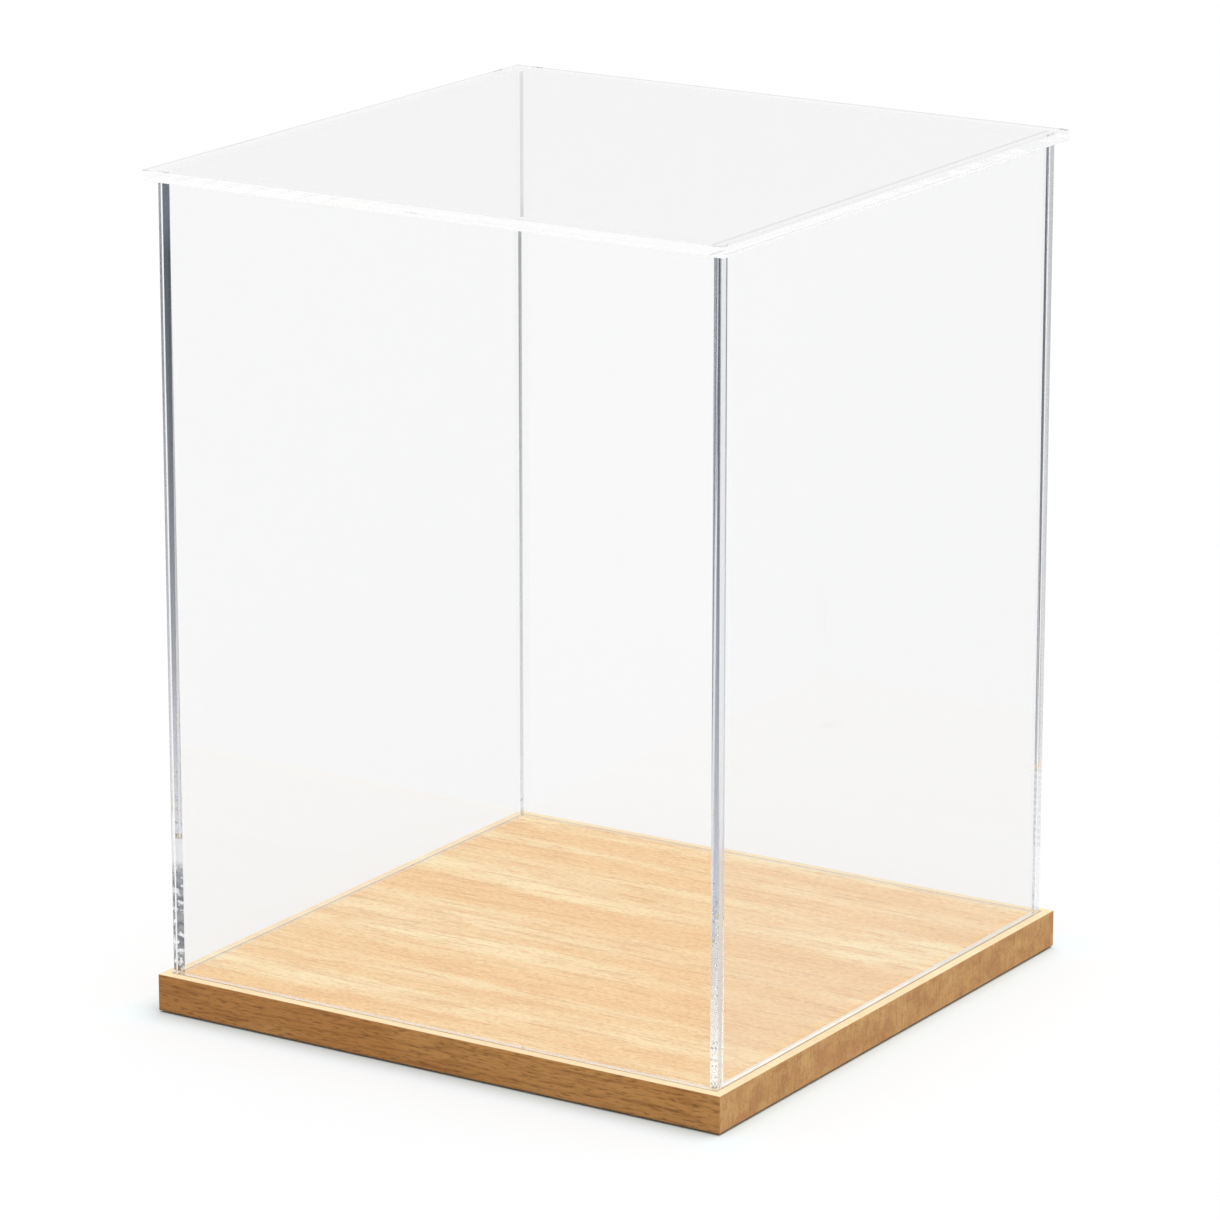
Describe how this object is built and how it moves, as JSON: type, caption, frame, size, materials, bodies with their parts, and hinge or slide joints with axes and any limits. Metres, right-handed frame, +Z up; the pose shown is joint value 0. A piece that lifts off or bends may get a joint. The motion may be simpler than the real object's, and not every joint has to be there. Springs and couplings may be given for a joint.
{
  "type": "acrylic display case",
  "caption": "Square clear acrylic cover with an overhanging lid that lifts off a flat wooden base board, for showing an object free of dust.",
  "frame": {"origin": "on the table top, under the middle of the base board", "axes": "+X to the right along the front, +Y from front to back, +Z up, the way the cover lifts off"},
  "size_m": [0.31, 0.31, 0.4038],
  "materials": {
    "base_wood": "satin clear lacquer",
    "clear_acrylic": "clear cast sheet with polished edges",
    "foot_pad": "matt foam rubber"
  },
  "bodies": {
    "base": {"base_board": "base_wood", "foot_pad_front_left": "foot_pad", "foot_pad_front_right": "foot_pad", "foot_pad_back_left": "foot_pad", "foot_pad_back_right": "foot_pad"},
    "cover": {"front_wall": "clear_acrylic", "back_wall": "clear_acrylic", "left_wall": "clear_acrylic", "right_wall": "clear_acrylic", "lid_panel": "clear_acrylic"}
  },
  "joints": [
    {"name": "cover_lift", "type": "slide", "parent": "base", "child": "cover", "axis": [0, 0, 1], "range_m": [0, 0.4]}
  ]
}
